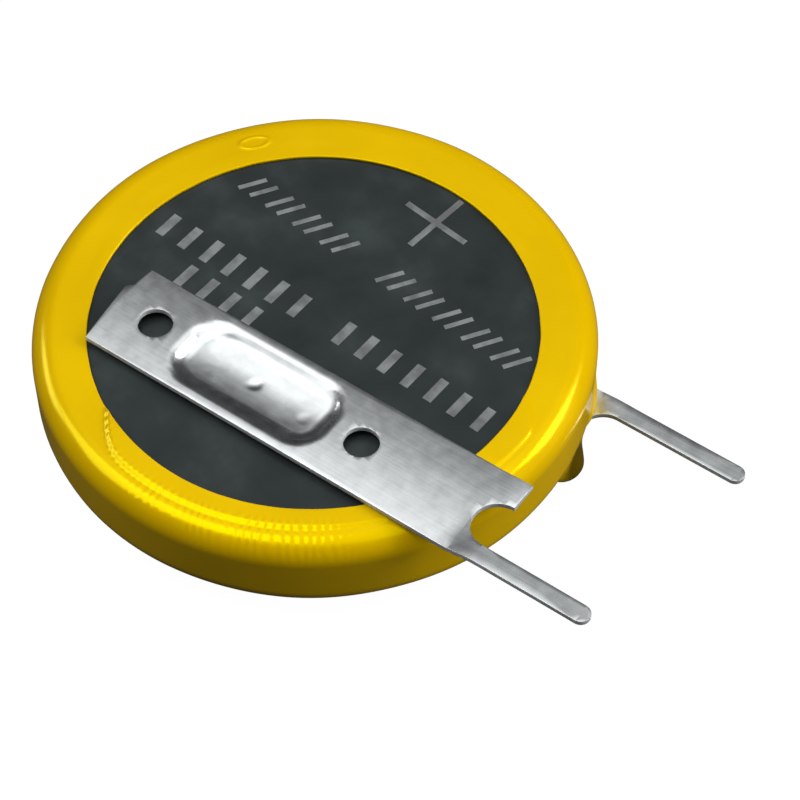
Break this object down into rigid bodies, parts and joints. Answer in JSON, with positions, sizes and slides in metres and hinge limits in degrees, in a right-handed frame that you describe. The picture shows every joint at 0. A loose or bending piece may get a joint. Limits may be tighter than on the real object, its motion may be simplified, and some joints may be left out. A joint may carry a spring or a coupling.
{
  "type": "lithium coin cell",
  "caption": "Round flat lithium coin cell in a shrunk film sleeve, with flat welded solder tabs whose pins stand out to one side for board mounting.",
  "frame": {"origin": "centre of the negative cap's outer face, on the cell's axis", "axes": "+Z along the cell's axis towards the positive face, +X along both solder pins towards their tips, the positive tab on the -Y side"},
  "size_m": [0.0251, 0.0202, 0.0044],
  "materials": {
    "can_steel": "dark satin, with pale grey print",
    "seal_plastic": "natural, slightly milky",
    "cap_steel": "satin",
    "lithium_metal": "dull",
    "separator_felt": "matt",
    "pellet_powder": "pressed powder",
    "collector_steel": "satin",
    "yellow_film": "glossy, shrunk tight",
    "tab_steel": "rolled sheet, softly brushed"
  },
  "bodies": {
    "root": {"positive_can": "can_steel", "gasket": "seal_plastic", "negative_cap": "cap_steel", "lithium_disc": "lithium_metal", "separator": "separator_felt", "cathode_pellet": "pellet_powder", "collector_ring": "collector_steel", "film_sleeve": "yellow_film", "positive_tab": "tab_steel", "negative_tab": "tab_steel"}
  },
  "joints": []
}
